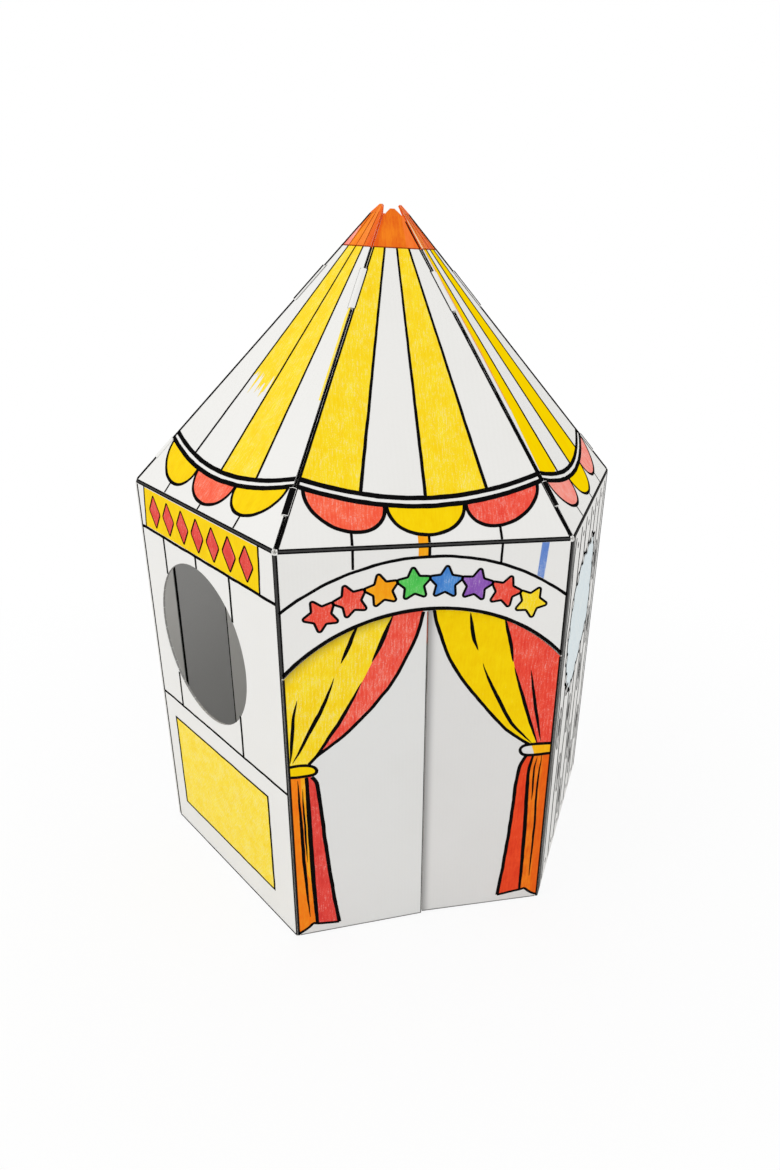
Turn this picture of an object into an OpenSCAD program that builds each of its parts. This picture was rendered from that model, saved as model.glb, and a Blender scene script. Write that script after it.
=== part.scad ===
// Cardboard playhouse: six walls and a pointed roof folded from two die-cut sheets of
// corrugated board, with a round window and a pair of door leaves under an arch.
// Millimetres, +Z up, front wall towards -Y, origin on the floor in the middle of the plan.

/* [Walls] */
// Width of one wall between its inside creases
wall_w = 480; // [440:5:520]
// Height of the walls from the floor to the eave crease
wall_h = 785; // [740:5:840]
// Thickness of the corrugated board
board_t = 4; // [3:0.5:5]
// Width of the two glue flaps inside the side seams
flap_w = 68; // [50:1:90]
// Length by which a glue flap stops short at its top and bottom
flap_cut = 24; // [10:1:60]
// Glue film between a flap and the wall it holds
glue_gap = 0.2; // [0.1:0.05:0.3]

/* [Roof] */
// Height of the roof's point above the eave, where its ridges would meet
roof_rise = 515; // [450:5:600]
// Distance of the clipped tip of a gore with tabs from that point, along the slope
tip_cut = 36; // [30:1:60]
// Length by which the gores with slots stand higher at their tips
tip_step = 9; // [0:1:12]
// Length by which the rear gores stand lower at their tips
rear_drop = 18; // [0:1:24]
// Length of the sloping clips beside a tip
tip_clip = 18; // [12:1:24]
// Width of a gore's blunt tip
tip_w = 8; // [6:1:14]
// Gap between two gores along a ridge
ridge_gap = 0.8; // [0.6:0.1:2]
// Radius of the relief hole where a wall corner meets the eave
relief_r = 3; // [3:0.5:10]

/* [Doorway] */
// Height of the doorway's arch in the middle of the front wall
arch_h = 672; // [640:1:700]
// Rise of the arch from the wall's corners to its middle
arch_rise = 106; // [80:1:130]
// Gap between the leaves and the arch above them
arch_gap = 1.5; // [1:0.1:3]
// Gap between the two leaves
split_gap = 2; // [0.8:0.1:3]
// Gap between the leaves and the floor
floor_gap = 2; // [1:0.5:6]
// Width of the slit that lets a leaf fold at its corner crease
crease_gap = 0.4; // [0.3:0.05:0.8]
// Angle by which the left leaf rests behind the front wall's plane
left_set = 1.4; // [0:0.1:3]
// Angle by which the right leaf rests behind the front wall's plane
right_set = 2.4; // [0:0.1:3]

/* [Window] */
// Radius of the round window in the left wall
window_r = 157; // [120:1:170]
// Height of the window's centre
window_z = 518; // [500:1:560]
// Distance of the window's centre from the middle of its wall, towards the seam
window_off = 31; // [0:1:40]

/* [Lock tabs] */
// Thickness of a lock tab where the board is crushed flat
tab_t = 1.5; // [1.2:0.1:2]
// Distance from the ridge at which a tab leaves its gore
tab_root = 2.5; // [2:0.5:4]
// Distance of a tab's slot from the ridge
tab_reach = 6; // [5:0.5:9]
// Depth of a tab's tongue below the inside of the gore
tab_drop = 14; // [8:1:20]
// Clearance round a tab in its slot
tab_fit = 0.3; // [0.2:0.05:0.5]
// Length of an upper tab along its ridge
upper_len = 82; // [60:1:100]
// Distance of an upper tab from the eave, along its ridge
upper_at = 450; // [420:1:480]
// Length of a lower tab along its ridge
lower_len = 48; // [30:1:60]
// Distance of a lower tab from the eave, along its ridge
lower_at = 60; // [50:1:90]

/* [Looks] */
// Colour of the coated board
board_colour = "whitesmoke"; // [whitesmoke, white, ivory, burlywood]

/* [Hidden] */
fold_steps = 4;
through = 1;
apothem = wall_w * cos(30);
slant = norm([apothem, roof_rise]);
pitch = atan2(roof_rise, apothem);
ridge_lean = atan2(wall_w, roof_rise);
half_fold = acos(sin(pitch) * sin(pitch) * cos(60) + cos(pitch) * cos(pitch)) / 2;
seam_in = (board_t + glue_gap) / sin(60);
seam_end = 2;
arch_r = (wall_w * wall_w / 4 + arch_rise * arch_rise) / (2 * arch_rise);
arch_z = arch_h - arch_r;
far = 3 * wall_w;

function unit(v) = v / norm(v);
function side(v) = [v.y, -v.x];
function corner(i) = wall_w * [cos(60 * i), sin(60 * i)];
function turn(a, b) = (b - a + 540) % 360 - 180;
function angle(v) = atan2(v.y, v.x);

// Outside of a fold: the board's outer liner bends round the inside crease.
function bend(p, i, t) =
  let (a = angle(side(p[i] - p[i - 1])))
  let (d = turn(a, angle(side(p[i + 1] - p[i]))))
  [for (j = [0:fold_steps]) p[i] + t * [cos(a + d * j / fold_steps), sin(a + d * j / fold_steps)]];

// Cross-section of a folded strip whose inside creases are the points of p.
function folded(p, t) =
  let (n = len(p) - 1)
  concat(
    [p[0] + t * side(unit(p[1] - p[0]))],
    [for (i = [1:n - 1]) each bend(p, i, t)],
    [p[n] + t * side(unit(p[n] - p[n - 1]))],
    [for (i = [n:-1:0]) p[i]]
  );

// Inside creases of the front sheet's walls and of the rear sheet's walls.
front_path = [
  corner(3) + seam_in * unit(corner(4) - corner(3)),
  corner(4),
  corner(5),
  corner(0) + seam_in * unit(corner(5) - corner(0))
];
rear_path = [
  corner(0) - seam_end * unit(corner(1) - corner(0)),
  corner(1),
  corner(2),
  corner(3) - seam_end * unit(corner(2) - corner(3))
];
flap_path = concat(
  [front_path[0] + flap_w * unit(corner(2) - corner(3))],
  front_path,
  [front_path[3] + flap_w * unit(corner(1) - corner(0))]
);

// Half width of a gore at a distance up its slope.
function half_w(s) = wall_w / 2 * (1 - s / slant) - ridge_gap / 2;

// Points across a ridge: u runs down the gore from its edge, v out from its inside face.
function over(u, v) = [
  v * cos(half_fold) - u * sin(half_fold),
  v * sin(half_fold) + u * cos(half_fold)
];
function mirrored(p) = [p.x, -p.y];

// Carries a shape to the wall at turn k, with the front wall at 0 and the right wall at 1.
module at_wall(k) {
  rotate([0, 0, 60 * k]) children();
}

// Carries a shape to the ridge after gore k: x out, y towards the next gore, z up the ridge.
module at_ridge(k) {
  rotate([0, 0, 60 * k - 60])
    translate([wall_w, 0, wall_h])
      rotate([0, -ridge_lean, 0])
        children();
}

// One gore of the roof, lying on its slope with its inside face down.
module gore(k) {
  tip = slant - tip_cut + (k % 2 == 0 ? 0 : tip_step) - (k > 1 ? rear_drop : 0);
  at_wall(k)
    translate([0, -apothem, wall_h])
      rotate([pitch, 0, 0])
        linear_extrude(board_t)
          polygon([
            [-half_w(0), 0],
            [half_w(0), 0],
            [half_w(tip - tip_clip), tip - tip_clip],
            [tip_w / 2, tip],
            [-tip_w / 2, tip],
            [-half_w(tip - tip_clip), tip - tip_clip]
          ]);
}

// The bent board at an eave, between a wall's top and its gore.
module eave(k) {
  lap = 4;
  fold = 90 - pitch;
  at_wall(k)
    translate([-wall_w / 2 + relief_r, -apothem, wall_h])
      rotate([90, 0, 90])
        linear_extrude(wall_w - 2 * relief_r)
          polygon(concat(
            [[0, 0]],
            [[-board_t * cos(lap), -board_t * sin(lap)]],
            [for (j = [0:fold_steps]) board_t * [-cos(fold * j / fold_steps), sin(fold * j / fold_steps)]],
            [board_t * [-cos(fold + lap), sin(fold + lap)]]
          ));
}

// Relief holes at the eave corners, so that three creases can fold at one place.
module reliefs() {
  for (i = [0:5])
    rotate([0, 0, 60 * i])
      translate([wall_w - 4 * board_t, 0, wall_h])
        rotate([0, 90, 0])
          cylinder(h = 8 * board_t, r = relief_r, $fn = 48);
}

// A lock tab: it leaves its gore at the ridge, laps over the next one and drops into a slot.
module lock_tab(at, length) {
  low = board_t * cos(2 * half_fold) + tab_fit;
  top = board_t + tab_fit;
  knee = [(low + top) / (2 * cos(half_fold)), (top - low) / (2 * sin(half_fold))];
  translate([0, 0, at])
    linear_extrude(length)
      polygon(folded(
        [mirrored(over(tab_root, low)), knee, over(tab_reach, top), over(tab_reach, -tab_drop)],
        tab_t
      ));
}

// The slot that takes a lock tab.
module tab_slot(at, length) {
  translate([0, 0, at - tab_fit])
    linear_extrude(length + 2 * tab_fit)
      polygon([
        over(tab_reach - tab_fit, -through),
        over(tab_reach + tab_t + tab_fit, -through),
        over(tab_reach + tab_t + tab_fit, board_t + through),
        over(tab_reach - tab_fit, board_t + through)
      ]);
}

module lock_tabs(k) {
  at_ridge(k) {
    lock_tab(upper_at, upper_len);
    lock_tab(lower_at, lower_len);
  }
  at_ridge(k - 1)
    mirror([0, 1, 0]) {
      lock_tab(upper_at, upper_len);
      lock_tab(lower_at, lower_len);
    }
}

// The slots in gore k for the tabs of both its neighbours.
module tab_slots(k) {
  at_ridge(k - 1) {
    tab_slot(upper_at, upper_len);
    tab_slot(lower_at, lower_len);
  }
  at_ridge(k)
    mirror([0, 1, 0]) {
      tab_slot(upper_at, upper_len);
      tab_slot(lower_at, lower_len);
    }
}

// Part of the plan that belongs to the front wall, up to its corners' mitres less a margin.
module front_wedge(margin) {
  linear_extrude(wall_h)
    polygon([
      [0, -2 * margin],
      [-far / 2, -2 * margin - far * sin(60)],
      [far / 2, -2 * margin - far * sin(60)]
    ]);
}

// Front view of the doorway from a height upwards, less a gap under the arch.
module doorway(from, gap) {
  translate([0, -apothem + 6 * board_t, 0])
    rotate([90, 0, 0])
      linear_extrude(12 * board_t)
        union() {
          translate([0, arch_z])
            circle(r = arch_r - gap, $fn = 240);
          translate([-arch_r + gap, from])
            square([2 * (arch_r - gap), arch_z - from]);
        }
}

module window_hole() {
  at_wall(-1)
    translate([-window_off, -apothem + 4 * board_t, window_z])
      rotate([90, 0, 0])
        cylinder(h = 8 * board_t, r = window_r, $fn = 180);
}

// Front sheet: left, front and right walls, their gores and the glue flaps.
module front_shell() {
  color(board_colour) {
    difference() {
      union() {
        linear_extrude(wall_h)
          polygon(folded(front_path, board_t));
        translate([0, 0, flap_cut])
          linear_extrude(wall_h - 2 * flap_cut)
            polygon(folded(flap_path, board_t));
        for (k = [-1:1]) {
          gore(k);
          eave(k);
        }
      }
      reliefs();
      window_hole();
      intersection() {
        translate([0, 0, -through])
          front_wedge(0);
        doorway(-through, 0);
      }
      tab_slots(1);
      tab_slots(-1);
    }
    lock_tabs(0);
  }
}

// Rear sheet: three plain walls and their gores.
module rear_shell() {
  color(board_colour) {
    difference() {
      union() {
        linear_extrude(wall_h)
          polygon(folded(rear_path, board_t));
        for (k = [2:4]) {
          gore(k);
          eave(k);
        }
      }
      reliefs();
      tab_slots(3);
    }
    lock_tabs(2);
    lock_tabs(4);
  }
}

// One door leaf: half of the front wall under the arch, folding at a corner crease.
module leaf(hand) {
  intersection() {
    linear_extrude(wall_h)
      polygon(folded(front_path, board_t));
    front_wedge(crease_gap);
    doorway(floor_gap, arch_gap);
    translate([hand > 0 ? split_gap / 2 : -wall_w - split_gap / 2, -wall_w, 0])
      cube([wall_w, wall_w, wall_h]);
  }
}

// Turns a leaf a little inwards about its crease.
module set_back(crease, turned) {
  translate([crease.x, crease.y, 0])
    rotate([0, 0, turned])
      translate([-crease.x, -crease.y, 0])
        children();
}

module left_door() {
  color(board_colour)
    set_back(corner(4), left_set)
      leaf(-1);
}

module right_door() {
  color(board_colour)
    set_back(corner(5), -right_set)
      leaf(1);
}

front_shell();
rear_shell();
left_door();
right_door();
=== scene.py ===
import bpy
import bmesh
import math
import random
from mathutils import Matrix, Vector
from mathutils.geometry import tessellate_polygon


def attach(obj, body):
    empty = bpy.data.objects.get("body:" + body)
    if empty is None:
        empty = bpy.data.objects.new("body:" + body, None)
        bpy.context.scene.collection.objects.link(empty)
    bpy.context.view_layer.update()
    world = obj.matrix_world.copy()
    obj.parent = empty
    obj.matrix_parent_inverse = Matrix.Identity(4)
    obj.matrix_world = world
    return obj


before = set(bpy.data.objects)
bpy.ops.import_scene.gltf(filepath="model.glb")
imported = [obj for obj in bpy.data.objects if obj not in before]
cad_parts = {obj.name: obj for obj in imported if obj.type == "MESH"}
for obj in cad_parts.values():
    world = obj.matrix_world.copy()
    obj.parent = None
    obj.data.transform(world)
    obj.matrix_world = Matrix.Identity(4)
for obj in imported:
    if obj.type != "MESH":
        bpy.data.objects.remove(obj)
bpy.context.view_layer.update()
print("frame:", sorted(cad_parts))

# the folded card's own sizes, in millimetres like all the drawings below
card = {
    "wall": 480, "height": 785, "board": 4, "rise": 515, "archTop": 672, "archRise": 106,
    "leftSet": 1.4, "rightSet": 2.4,  # how far each leaf rests behind the wall, in degrees
    "tip": 36, "tipStep": 9, "rearDrop": 18, "tipClip": 18, "ridgeGap": 0.8, "relief": 3,
}
halfWall = card["wall"] / 2
apothem = card["wall"] * math.cos(math.pi / 6)
slant = math.hypot(apothem, card["rise"])
pitch = math.atan2(card["rise"], apothem)
archRadius = (card["wall"] ** 2 / 4 + card["archRise"] ** 2) / (2 * card["archRise"])
archMiddle = card["archTop"] - archRadius


class Wire:
    def __init__(self, tree, socket=None):
        self.tree = tree
        self.socket = socket

    def node(self, kind, settings=None, sockets=None, out=0):
        made = self.tree.nodes.new(kind)
        for name, value in (settings or {}).items():
            setattr(made, name, value)
        for key, value in (sockets or {}).items():
            if isinstance(value, Wire):
                self.tree.links.new(value.socket, made.inputs[key])
            else:
                made.inputs[key].default_value = value
        return Wire(self.tree, made.outputs[out] if made.outputs else None)

    def maths(self, operation, a, b=0.0):
        return self.node("ShaderNodeMath", {"operation": operation}, {0: a, 1: b})

    def vector(self, operation, a, b=(0, 0, 0), out=0):
        return self.node("ShaderNodeVectorMath", {"operation": operation}, {0: a, 1: b}, out)

    def __add__(self, other):
        return self.maths("ADD", self, other)

    def __sub__(self, other):
        return self.maths("SUBTRACT", self, other)

    def __rsub__(self, other):
        return self.maths("SUBTRACT", other, self)

    def __mul__(self, other):
        return self.maths("MULTIPLY", self, other)

    def __pow__(self, other):
        return self.maths("POWER", self, other)

    __radd__ = __add__
    __rmul__ = __mul__

    def clamp(self):
        return self.node("ShaderNodeClamp", None, {"Value": self})

    def mix(self, first, second):
        return self.node("ShaderNodeMix", {"data_type": "RGBA"}, {0: self, 6: first, 7: second}, out=2)


def linear(red, green, blue):
    parts = [c / 255 for c in (red, green, blue)]
    return tuple(c / 12.92 if c < 0.04045 else ((c + 0.055) / 1.055) ** 2.4 for c in parts) + (1.0,)


def startMaterial(name):
    material = bpy.data.materials.new(name)
    material.use_nodes = True
    tree = material.node_tree
    tree.nodes.clear()
    return material, Wire(tree)


def finishMaterial(wire, colour, roughness, bump, specular):
    strength, distance, height = bump
    normal = wire.node("ShaderNodeBump", None, {"Strength": strength, "Distance": distance, "Height": height})
    shader = wire.node("ShaderNodeBsdfPrincipled", None, {
        "Base Color": colour, "Roughness": roughness, "Normal": normal, "Specular IOR Level": specular})
    wire.node("ShaderNodeOutputMaterial", None, {"Surface": shader})


def noiseAt(wire, place, scale, detail, rough=0.5):
    return wire.node("ShaderNodeTexNoise", None, {
        "Vector": place, "Scale": scale, "Detail": detail, "Roughness": rough})


# white-coated corrugated board; the right leaf's own carries a painted shadow where it tucks behind the left
# leaf
boardLook = {
    "white": (237, 236, 233), "warm": (230, 229, 225), "flutePitch": 0.0066, "ripple": 0.10,
    "clouds": 5.0, "fibres": 900.0, "scuffs": 60.0, "shadowReach": 0, "shadowSlope": 69, "shadowColour": (180, 179, 178),
}
# the leaves' board: darker copies of the same board, a painted shade on the doors; the right leaf's darker
# still
leafShadedLook = {**boardLook, "white": (228, 228, 226), "warm": (221, 220, 217)}
rightLeafShadowLook = {**leafShadedLook, "white": (225, 224, 222), "warm": (219, 218, 215), "shadowReach": 0.0195}


def boardMaterial(name, look):
    material, wire = startMaterial(name)
    coords = wire.node("ShaderNodeTexCoord", out=3)
    normal = wire.node("ShaderNodeTexCoord", out=1)
    # flutes run up each panel, so the ripple follows the level direction along it
    along = wire.vector("CROSS_PRODUCT", (0, 0, 1), normal)
    level = wire.vector("DOT_PRODUCT", along, coords, out=1)
    flute = wire.maths("SINE", level * (2 * math.pi / look["flutePitch"]))
    clouds = noiseAt(wire, coords, look["clouds"], 4.0)
    fibres = noiseAt(wire, coords, look["fibres"], 2.0, 0.7)
    scuffs = noiseAt(wire, coords, look["scuffs"], 5.0, 0.65)
    tone = ((clouds - 0.45) * 1.3 + (fibres - 0.5) * 0.5 + flute * 0.06).clamp()
    colour = tone.mix(linear(*look["white"]), linear(*look["warm"]))
    # painted shadow along the right leaf's free edge, darkest at the split
    if look["shadowReach"]:
        across = wire.node("ShaderNodeSeparateXYZ", None, {0: coords})
        shade = ((look["shadowReach"] - across) * look["shadowSlope"]).clamp() ** 1.8
        colour = shade.mix(colour, linear(*look["shadowColour"]))
    roughness = (0.52 + scuffs * 0.16 + fibres * 0.06).clamp()
    height = flute * look["ripple"] + fibres * 0.35 + scuffs * 0.25
    finishMaterial(wire, colour, roughness, (0.22, 0.0004, height), 0.25)
    return material


# wax crayon: fine strokes over broad passes, on the paper's tooth
waxLook = {
    "strokes": (70, 460, 1), "passes": (16, 64, 1), "patches": 34.0, "tooth": 420.0,
    "bareBoard": (240, 238, 232), "archReach": 0.021, "archShade": (170, 146, 34),
}


def crayonMaterial(name, colour, deep, cover, gloss=0.12, angle=84, ribs=0.06, shadowUnderArch=False):
    material, wire = startMaterial(name)
    coords = wire.node("ShaderNodeUVMap", {"uv_map": "panel"})
    turned = wire.node("ShaderNodeMapping", None, {
        "Vector": coords, "Rotation": (0, 0, math.radians(-angle))})
    strokes = noiseAt(wire, wire.vector("MULTIPLY", turned, waxLook["strokes"]), 1.0, 3.0, 0.6)
    passes = noiseAt(wire, wire.vector("MULTIPLY", turned, waxLook["passes"]), 1.0, 3.0, 0.55)
    patches = noiseAt(wire, coords, waxLook["patches"], 3.0, 0.6)
    tooth = noiseAt(wire, coords, waxLook["tooth"], 3.0, 0.8)
    # the flutes under the liner take a little more wax on their crests
    across = wire.node("ShaderNodeSeparateXYZ", None, {0: coords})
    wave = wire.maths("SINE", across * (2 * math.pi / boardLook["flutePitch"]) + passes * 3.0)
    flute = wave * patches
    bare = (strokes - 0.5) * 1.1 + (tooth - 0.5) * 1.4 + (patches - 0.5) * 0.6 + flute * ribs
    coverage = (cover + bare).clamp()
    layers = (passes - 0.5) * 1.6 + (patches - 0.5) * 1.6 + (strokes - 0.5) * 1.6 + flute * (ribs * 2.6)
    wax = (layers + 0.45).clamp().mix(linear(*colour), linear(*deep))
    base = coverage.mix(linear(*waxLook["bareBoard"]), wax)
    if shadowUnderArch:
        # painted shadow under the header: the wax is darkened towards the arch's edge
        middle = wire.vector("SUBTRACT", coords, (0, archMiddle / 1000, 0))
        radius = wire.vector("LENGTH", middle, out=1)
        shade = ((radius - (archRadius / 1000 - waxLook["archReach"])) * 50).clamp() ** 1.5 * 0.8
        base = shade.mix(base, linear(*waxLook["archShade"]))
    finishMaterial(wire, base, 0.7 - coverage * 0.14, (0.25, 0.0003, strokes * 0.5 + tooth * 0.5), gloss)
    return material


inkLook = {"blotch": 240.0, "grain": 1400.0}


def inkMaterial(name, dark, pale):
    material, wire = startMaterial(name)
    coords = wire.node("ShaderNodeUVMap", {"uv_map": "panel"})
    blotch = noiseAt(wire, coords, inkLook["blotch"], 4.0, 0.7)
    grain = noiseAt(wire, coords, inkLook["grain"], 2.0, 0.6)
    tone = ((blotch - 0.5) * 1.1 + (grain - 0.5) * 0.7 + 0.3).clamp()
    colour = tone.mix(linear(*dark), linear(*pale))
    finishMaterial(wire, colour, 0.6 + blotch * 0.2, (0.1, 0.0002, grain), 0.0)
    return material


paints = {
    "board": boardMaterial("coatedBoard", boardLook),
    "leaf": boardMaterial("leafBoardPaintedShade", leafShadedLook),
    "rightLeafPaintedShadow": boardMaterial("rightLeafBoardPaintedShadow", rightLeafShadowLook),
    "ink": inkMaterial("blackInk", (9, 9, 10), (24, 23, 23)),
    "foldInk": inkMaterial("foldInk", (52, 52, 52), (84, 83, 82)),
    "grey": inkMaterial("scoreGrey", (104, 103, 102), (140, 139, 137)),
    "insideShadeGrey": inkMaterial("insideShadeGrey", (192, 192, 192), (204, 204, 203)),
    "core": inkMaterial("boardCore", (150, 142, 130), (186, 178, 166)),
    "rim": inkMaterial("rimEdge", (150, 149, 147), (176, 175, 172)),
    "flute": inkMaterial("flutePaper", (196, 186, 170), (220, 212, 198)),
    "rust": inkMaterial("rustLine", (140, 50, 10), (176, 70, 18)),
    "cornerShadeGrey": inkMaterial("cornerShadeGrey", (112, 112, 110), (152, 151, 149)),
    "insideLeftShade": inkMaterial("insideLeftShade", (142, 142, 142), (154, 154, 153)),
}
# each crayon: thin wax, deep wax, cover; then gloss, stroke angle, ribs and arch shade where they differ
crayons = {
    "yellow": ((254, 226, 34), (251, 211, 6), 1.06),
    "denseYellow": ((252, 216, 6), (246, 203, 0), 1.32, 0.04),
    "paleYellow": ((255, 230, 66), (252, 218, 34), 1.0, 0.12, 60),
    "brightYellow": ((255, 222, 0), (255, 210, 0), 2.2, 0.0),
    "curtainYellow": ((255, 228, 40), (251, 210, 6), 1.04, 0.12, 84, 0.1, True),
    "red": ((247, 92, 70), (236, 68, 52), 1.04),
    "scallopRed": ((254, 110, 74), (246, 84, 56), 1.04),
    "curtainRed": ((250, 98, 74), (238, 72, 56), 1.02, 0.12, 84, 0.1),
    "rightRed": ((246, 86, 62), (232, 60, 46), 1.08, 0.12, 84, 0.1),
    "deepRed": ((236, 74, 62), (218, 56, 50), 1.1),
    "fireRed": ((240, 76, 32), (224, 56, 20), 1.3),
    "salmon": ((254, 152, 136), (249, 126, 110), 1.0),
    "orange": ((247, 130, 14), (228, 94, 2), 1.6),
    "deepOrange": ((241, 108, 6), (228, 84, 0), 1.7),
    "paleOrange": ((250, 142, 46), (245, 122, 22), 1.5),
    "coral": ((249, 126, 48), (244, 108, 26), 1.5),
    "cream": ((252, 226, 180), (250, 214, 160), 1.1),
    "tailOrange": ((250, 142, 14), (245, 112, 2), 1.3),
    "amber": ((252, 176, 18), (248, 154, 6), 1.2),
    "tieAmber": ((255, 198, 34), (252, 180, 14), 1.3, 0.04),
    "green": ((96, 210, 94), (70, 190, 78), 1.1),
    "blue": ((82, 146, 216), (58, 122, 202), 1.1),
    "barBlue": ((112, 148, 214), (92, 128, 202), 1.0),
    "purple": ((152, 98, 190), (130, 76, 172), 1.1),
    "paleBlue": ((230, 239, 241), (220, 233, 238), 1.0),
}
for name, look in crayons.items():
    paints[name] = crayonMaterial(name + "Crayon", *look)
boards = {"left_door": "leaf", "right_door": "rightLeafPaintedShadow"}
for name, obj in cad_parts.items():
    obj.data.materials.clear()
    obj.data.materials.append(paints[boards.get(name, "board")])
print("finishes:", len(paints))


# planes that carry a panel's drawing, laid flat in millimetres, to its place on the house
def sixth(turn):
    return Matrix.Rotation(math.radians(60 * turn), 4, "Z")


def wallPlane(turn, inside=False):
    if inside:
        flat = Matrix(((-1, 0, 0, 0), (0, 0, 1, -apothem), (0, 1, 0, 0), (0, 0, 0, 1)))
    else:
        flat = Matrix(((1, 0, 0, 0), (0, 0, -1, -apothem - card["board"]), (0, 1, 0, 0), (0, 0, 0, 1)))
    return sixth(turn) @ flat


def leafPlane(hand):
    # a leaf rests a little behind the wall, turned about its crease
    crease = Matrix.Translation((hand * halfWall, -apothem, 0))
    angle = math.radians(card["leftSet"] if hand < 0 else -card["rightSet"])
    return crease @ Matrix.Rotation(angle, 4, "Z") @ crease.inverted() @ wallPlane(0)


def ridgePlane(turn):
    lean = math.atan2(card["wall"], card["rise"])
    place = Matrix.Translation((card["wall"], 0, card["height"])) @ Matrix.Rotation(-lean, 4, "Y")
    axes = Matrix(((0, 0, 1, 0), (1, 0, 0, 0), (0, 1, 0, 0), (0, 0, 0, 1)))  # across, up the ridge, out
    return sixth(turn - 1) @ place @ axes


def gorePlane(turn):
    c, s, t = math.cos(pitch), math.sin(pitch), card["board"]
    flat = Matrix((
        (1, 0, 0, 0), (0, c, -s, -apothem - t * s), (0, s, c, card["height"] + t * c), (0, 0, 0, 1)))
    return sixth(turn) @ flat


def smooth(points, steps=8):
    full = [points[0], *points, points[-1]]
    path = []
    for a, b, c, d in zip(full, full[1:], full[2:], full[3:]):
        for i in range(steps):
            t = i / steps
            path.append(tuple(
                0.5 * (2 * q + (r - p) * t + (2 * p - 5 * q + 4 * r - s) * t * t
                       + (3 * q - p - 3 * r + s) * t ** 3)
                for p, q, r, s in zip(a, b, c, d)))
    return path + [points[-1]]


def evenly(low, high, count):
    return [low + (high - low) * i / count for i in range(count + 1)]


def spread(low, high, step=10):
    return evenly(low, high, max(2, round((high - low) / step)))


def arcLine(radius, middle, fromX, toX, steps=48):
    return [(x, middle + math.sqrt(radius * radius - x * x)) for x in evenly(fromX, toX, steps)]


def onArch(radius, angles, middle=archMiddle):
    return [(radius * math.sin(a), middle + radius * math.cos(a)) for a in angles]


def startTree(name, inputs):
    # a drawing goes in and a mesh comes out; an input without a number is a material
    kinds = {float: "NodeSocketFloat", int: "NodeSocketInt", type(None): "NodeSocketMaterial"}
    tree = bpy.data.node_groups.new(name, "GeometryNodeTree")
    for way in ("INPUT", "OUTPUT"):
        tree.interface.new_socket("Geometry", in_out=way, socket_type="NodeSocketGeometry")
    keys = {}
    for label, value in inputs.items():
        kind = kinds[type(value)]
        item = tree.interface.new_socket(label.capitalize(), in_out="INPUT", socket_type=kind)
        if value is not None:
            item.default_value = value
        keys[label] = item.identifier
    given = tree.nodes.new("NodeGroupInput").outputs
    return tree, keys, Wire(tree), [Wire(tree, given[i]) for i in range(len(inputs) + 1)]


def inFinish(wire, geometry, material):
    real = wire.node("GeometryNodeRealizeInstances", None, {"Geometry": geometry})
    return wire.node("GeometryNodeSetMaterial", None, {"Geometry": real, "Material": material})


def ribbonAlong(wire, path, width):
    level = wire.node("GeometryNodeSetCurveNormal", {"mode": "Z_UP"}, {"Curve": path})
    edge = wire.node("GeometryNodeCurvePrimitiveLine", None, {"Start": (-0.5, 0, 0), "End": (0.5, 0, 0)})
    return wire.node("GeometryNodeCurveToMesh", None, {"Curve": level, "Profile Curve": edge, "Scale": width})


def inkLineTree():
    tree, keys, wire, given = startTree("inkLine", {
        "width": 5.0, "wobble": 0.8, "taper": 0.0, "thin": 0.0, "seed": 1.0, "material": None})
    path, width, wobble, taper, thin, seed, material = given
    fine = wire.node("GeometryNodeResampleCurve", {"mode": "LENGTH"}, {"Curve": path, "Length": 4.0})
    place = wire.node("GeometryNodeInputPosition")
    drift = wire.node("ShaderNodeTexNoise", {"noise_dimensions": "4D"}, {
        "Vector": place, "W": seed, "Scale": 0.03, "Detail": 2.0}, out=1)
    flat = wire.vector("MULTIPLY", wire.vector("SUBTRACT", drift, (0.5, 0.5, 0.5)), (4.0, 4.0, 0.0))
    shift = wire.node("ShaderNodeVectorMath", {"operation": "SCALE"}, {0: flat, 3: wobble})
    moved = wire.node("GeometryNodeSetPosition", None, {"Geometry": fine, "Offset": shift})
    swell = wire.node("ShaderNodeTexNoise", {"noise_dimensions": "4D"}, {
        "Vector": place, "W": seed + 9.0, "Scale": 0.05, "Detail": 2.0})
    share = wire.node("GeometryNodeSplineParameter")
    point = (share * (1 - share) * 4.0) ** 0.75
    thick = (1 - taper + taper * point) * (1 - thin * share) * (0.82 + swell * 0.36) * width
    wire.node("NodeGroupOutput", None, {0: inFinish(wire, ribbonAlong(wire, moved, thick), material)})
    return tree, keys


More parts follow.
